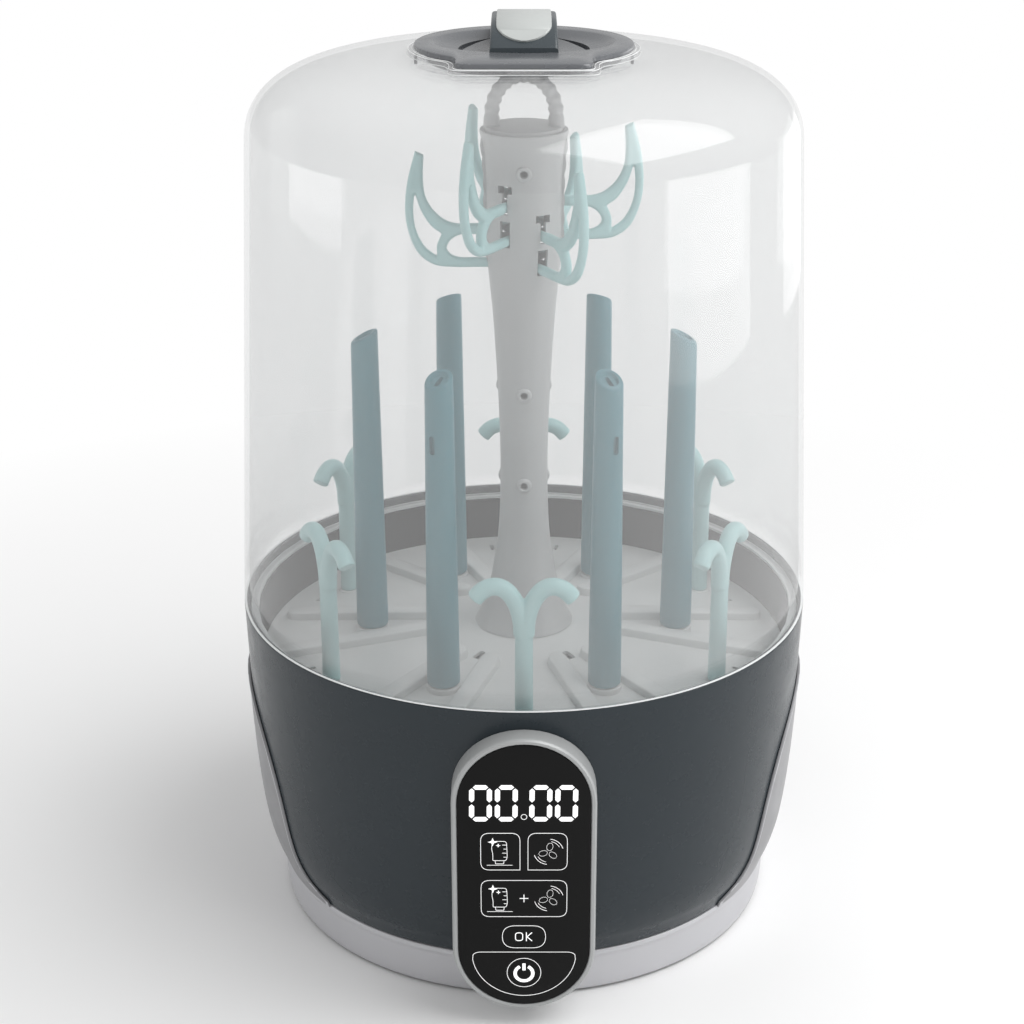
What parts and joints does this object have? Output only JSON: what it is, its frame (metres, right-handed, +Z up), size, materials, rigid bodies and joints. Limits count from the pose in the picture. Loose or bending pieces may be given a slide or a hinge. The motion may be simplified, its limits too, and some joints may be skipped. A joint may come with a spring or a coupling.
{
  "type": "bottle steriliser",
  "caption": "Round steam steriliser and dryer for baby bottles: dark base with a pill-shaped control panel, lift-out rack with posts and hooks, and a tall clear dome with a bridge handle",
  "frame": {"origin": "middle of the whole footprint, on the surface the feet stand on", "axes": "+Z up, front with the control panel towards -Y, +X to the right as seen from the front"},
  "size_m": [0.281, 0.2902, 0.445],
  "materials": {
    "clear_dome": "clear polycarbonate, polished",
    "slate_shell": "dark slate plastic, satin gloss",
    "cap_slate": "grey slate plastic, satin gloss",
    "light_grey": "light grey plastic, satin",
    "rack_grey": "light grey plastic, fine texture",
    "post_blue_grey": "blue-grey translucent-looking plastic",
    "pale_aqua": "pale aqua plastic, satin",
    "silver_band": "silver paint, satin",
    "panel_black": "black high gloss panel",
    "steel": "brushed stainless steel",
    "foot_rubber": "black rubber, matt",
    "seal_silicone": "grey silicone",
    "circuit_board": "green board",
    "black_plastic": "black plastic, matt",
    "filter_felt": "white felt pad"
  },
  "bodies": {
    "base": {"outer_shell": "slate_shell", "inner_tub": "slate_shell", "rim_seal": "seal_silicone", "base_ring": "silver_band", "bottom_cover": "black_plastic", "side_trim_left": "silver_band", "side_trim_right": "silver_band", "panel_frame": "light_grey", "panel_glass": "panel_black", "display_board": "circuit_board", "power_inlet": "black_plastic", "heating_plate": "steel", "heating_element": "steel", "thermostat": "black_plastic", "air_tube": "black_plastic", "fan_housing": "black_plastic", "fan_motor": "steel", "air_heater": "steel", "power_board": "circuit_board", "foot_1": "foot_rubber", "screw_1": "steel", "foot_2": "foot_rubber", "screw_2": "steel", "foot_3": "foot_rubber", "screw_3": "steel", "foot_4": "foot_rubber", "screw_4": "steel"},
    "filter": {"filter_cover": "slate_shell", "air_filter": "filter_felt"},
    "fan": {"fan_impeller": "black_plastic"},
    "dome": {"dome_shell": "clear_dome", "vent_cap": "cap_slate", "handle": "cap_slate", "handle_inlay": "light_grey"},
    "rack": {"tray": "rack_grey", "column": "rack_grey", "column_loop": "rack_grey", "bottle_post_1": "post_blue_grey", "bottle_post_2": "post_blue_grey", "bottle_post_3": "post_blue_grey", "bottle_post_4": "post_blue_grey", "bottle_post_5": "post_blue_grey", "bottle_post_6": "post_blue_grey", "fork_1": "pale_aqua", "fork_2": "pale_aqua", "fork_3": "pale_aqua", "fork_4": "pale_aqua", "fork_5": "pale_aqua", "fork_6": "pale_aqua"},
    "crown_hook_1_body": {"crown_hook_1": "pale_aqua"},
    "crown_hook_2_body": {"crown_hook_2": "pale_aqua"},
    "crown_hook_3_body": {"crown_hook_3": "pale_aqua"},
    "crown_hook_4_body": {"crown_hook_4": "pale_aqua"},
    "crown_hook_5_body": {"crown_hook_5": "pale_aqua"},
    "crown_hook_6_body": {"crown_hook_6": "pale_aqua"}
  },
  "joints": [
    {"name": "dome_lift", "type": "slide", "parent": "base", "child": "dome", "axis": [0, 0, 1], "range_m": [0, 0.28]},
    {"name": "rack_lift", "type": "slide", "parent": "base", "child": "rack", "axis": [0, 0, 1], "range_m": [0, 0.005]},
    {"name": "fan_spin", "type": "hinge", "parent": "base", "child": "fan", "pos_m": [0, 0.0049, 0.036], "axis": [0, 0, 1], "continuous": true},
    {"name": "filter_pull", "type": "slide", "parent": "base", "child": "filter", "axis": [0, 1, 0], "range_m": [0, 0.03]},
    {"name": "crown_hook_1_slide", "type": "slide", "parent": "rack", "child": "crown_hook_1_body", "axis": [0, 0, 1], "range_m": [0, 0.007]},
    {"name": "crown_hook_2_slide", "type": "slide", "parent": "rack", "child": "crown_hook_2_body", "axis": [0, 0, 1], "range_m": [0, 0.007]},
    {"name": "crown_hook_3_slide", "type": "slide", "parent": "rack", "child": "crown_hook_3_body", "axis": [0, 0, 1], "range_m": [0, 0.007]},
    {"name": "crown_hook_4_slide", "type": "slide", "parent": "rack", "child": "crown_hook_4_body", "axis": [0, 0, 1], "range_m": [0, 0.007]},
    {"name": "crown_hook_5_slide", "type": "slide", "parent": "rack", "child": "crown_hook_5_body", "axis": [0, 0, 1], "range_m": [0, 0.007]},
    {"name": "crown_hook_6_slide", "type": "slide", "parent": "rack", "child": "crown_hook_6_body", "axis": [0, 0, 1], "range_m": [0, 0.007]}
  ]
}
